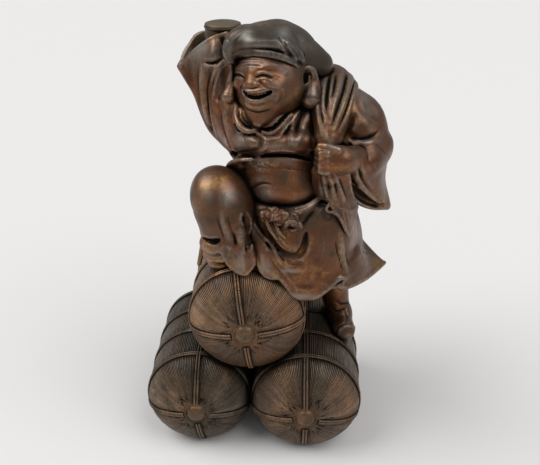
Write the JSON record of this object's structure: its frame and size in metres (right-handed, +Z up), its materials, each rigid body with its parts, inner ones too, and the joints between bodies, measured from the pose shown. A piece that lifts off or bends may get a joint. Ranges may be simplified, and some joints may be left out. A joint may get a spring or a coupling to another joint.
{
  "type": "cast bronze figure of a laughing god of good harvests on rice bales",
  "caption": "Bronze figure of a laughing deity in a soft cap, with sack and mallet, standing with one knee raised on stacked rice bales.",
  "frame": {"origin": "middle of the whole object's box, on the surface that the two lower bales stand on", "axes": "+Z up; the figure looks towards -Y; +X to the right of someone facing the figure"},
  "size_m": [0.1738, 0.1372, 0.2983],
  "materials": {
    "bronze": "cast bronze, red-brown patina, rubbed golden on the high edges and nearly black in the hollows",
    "bale_bronze": "cast bronze, darker brown patina over fine straw lines"
  },
  "bodies": {
    "root": {"figure": "bronze", "rice_bales": "bale_bronze"}
  },
  "joints": []
}
